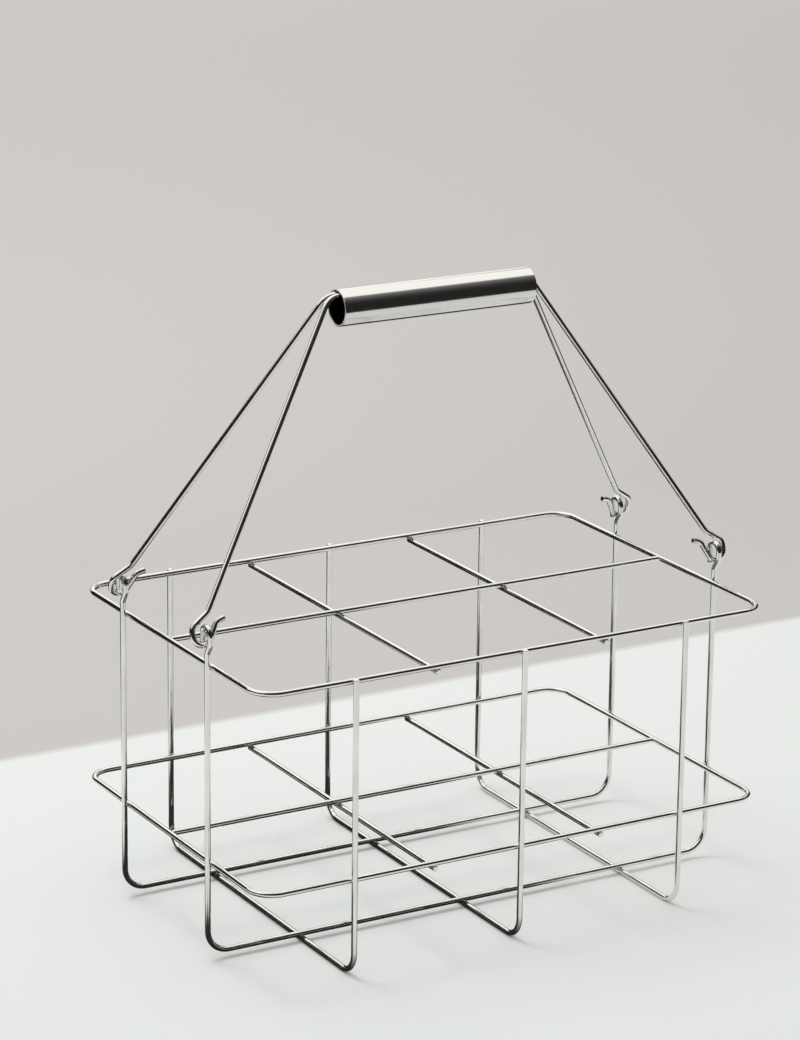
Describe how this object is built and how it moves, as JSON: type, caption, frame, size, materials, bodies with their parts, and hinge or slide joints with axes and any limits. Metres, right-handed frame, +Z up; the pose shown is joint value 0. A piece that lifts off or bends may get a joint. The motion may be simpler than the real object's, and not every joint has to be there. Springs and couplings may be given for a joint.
{
  "type": "bottle caddy",
  "caption": "Open basket of welded round steel wire with bottle cells, carried by two hooked wire bails that share a loose tubular grip.",
  "frame": {"origin": "on the table, under the middle of the basket's three feet", "axes": "+Z up, +X along the caddy and the grip, +Y across it; the front is -Y"},
  "size_m": [0.3242, 0.2096, 0.333],
  "materials": {
    "wire_steel": "bright polished",
    "grip_steel": "mirror polished"
  },
  "bodies": {
    "basket": {"upper_ring": "wire_steel", "lower_ring": "wire_steel", "upper_long_divider": "wire_steel", "lower_long_divider": "wire_steel", "upper_left_cross_divider": "wire_steel", "upper_right_cross_divider": "wire_steel", "lower_left_cross_divider": "wire_steel", "lower_right_cross_divider": "wire_steel", "front_long_cradle": "wire_steel", "back_long_cradle": "wire_steel", "left_cross_cradle": "wire_steel", "middle_cross_cradle": "wire_steel", "right_cross_cradle": "wire_steel"},
    "front_bail": {"front_bail": "wire_steel"},
    "back_bail": {"back_bail": "wire_steel"},
    "grip": {"grip": "grip_steel"}
  },
  "joints": [
    {"name": "back_bail_hinge", "type": "hinge", "parent": "basket", "child": "back_bail", "pos_m": [0, 0.04928, 0.17105], "axis": [-1, 0, 0], "range_deg": [0, 5.7]},
    {"name": "front_bail_hinge", "type": "hinge", "parent": "basket", "child": "front_bail", "pos_m": [0, -0.04732, 0.17105], "axis": [-1, 0, 0], "range_deg": [0, 5.7]},
    {"name": "grip_slide", "type": "slide", "parent": "back_bail", "child": "grip", "axis": [1, 0, 0], "range_m": [-0.0068, 0]}
  ],
  "couplings": [
    {"joint": "front_bail_hinge", "follows": "back_bail_hinge", "ratio": 1}
  ]
}
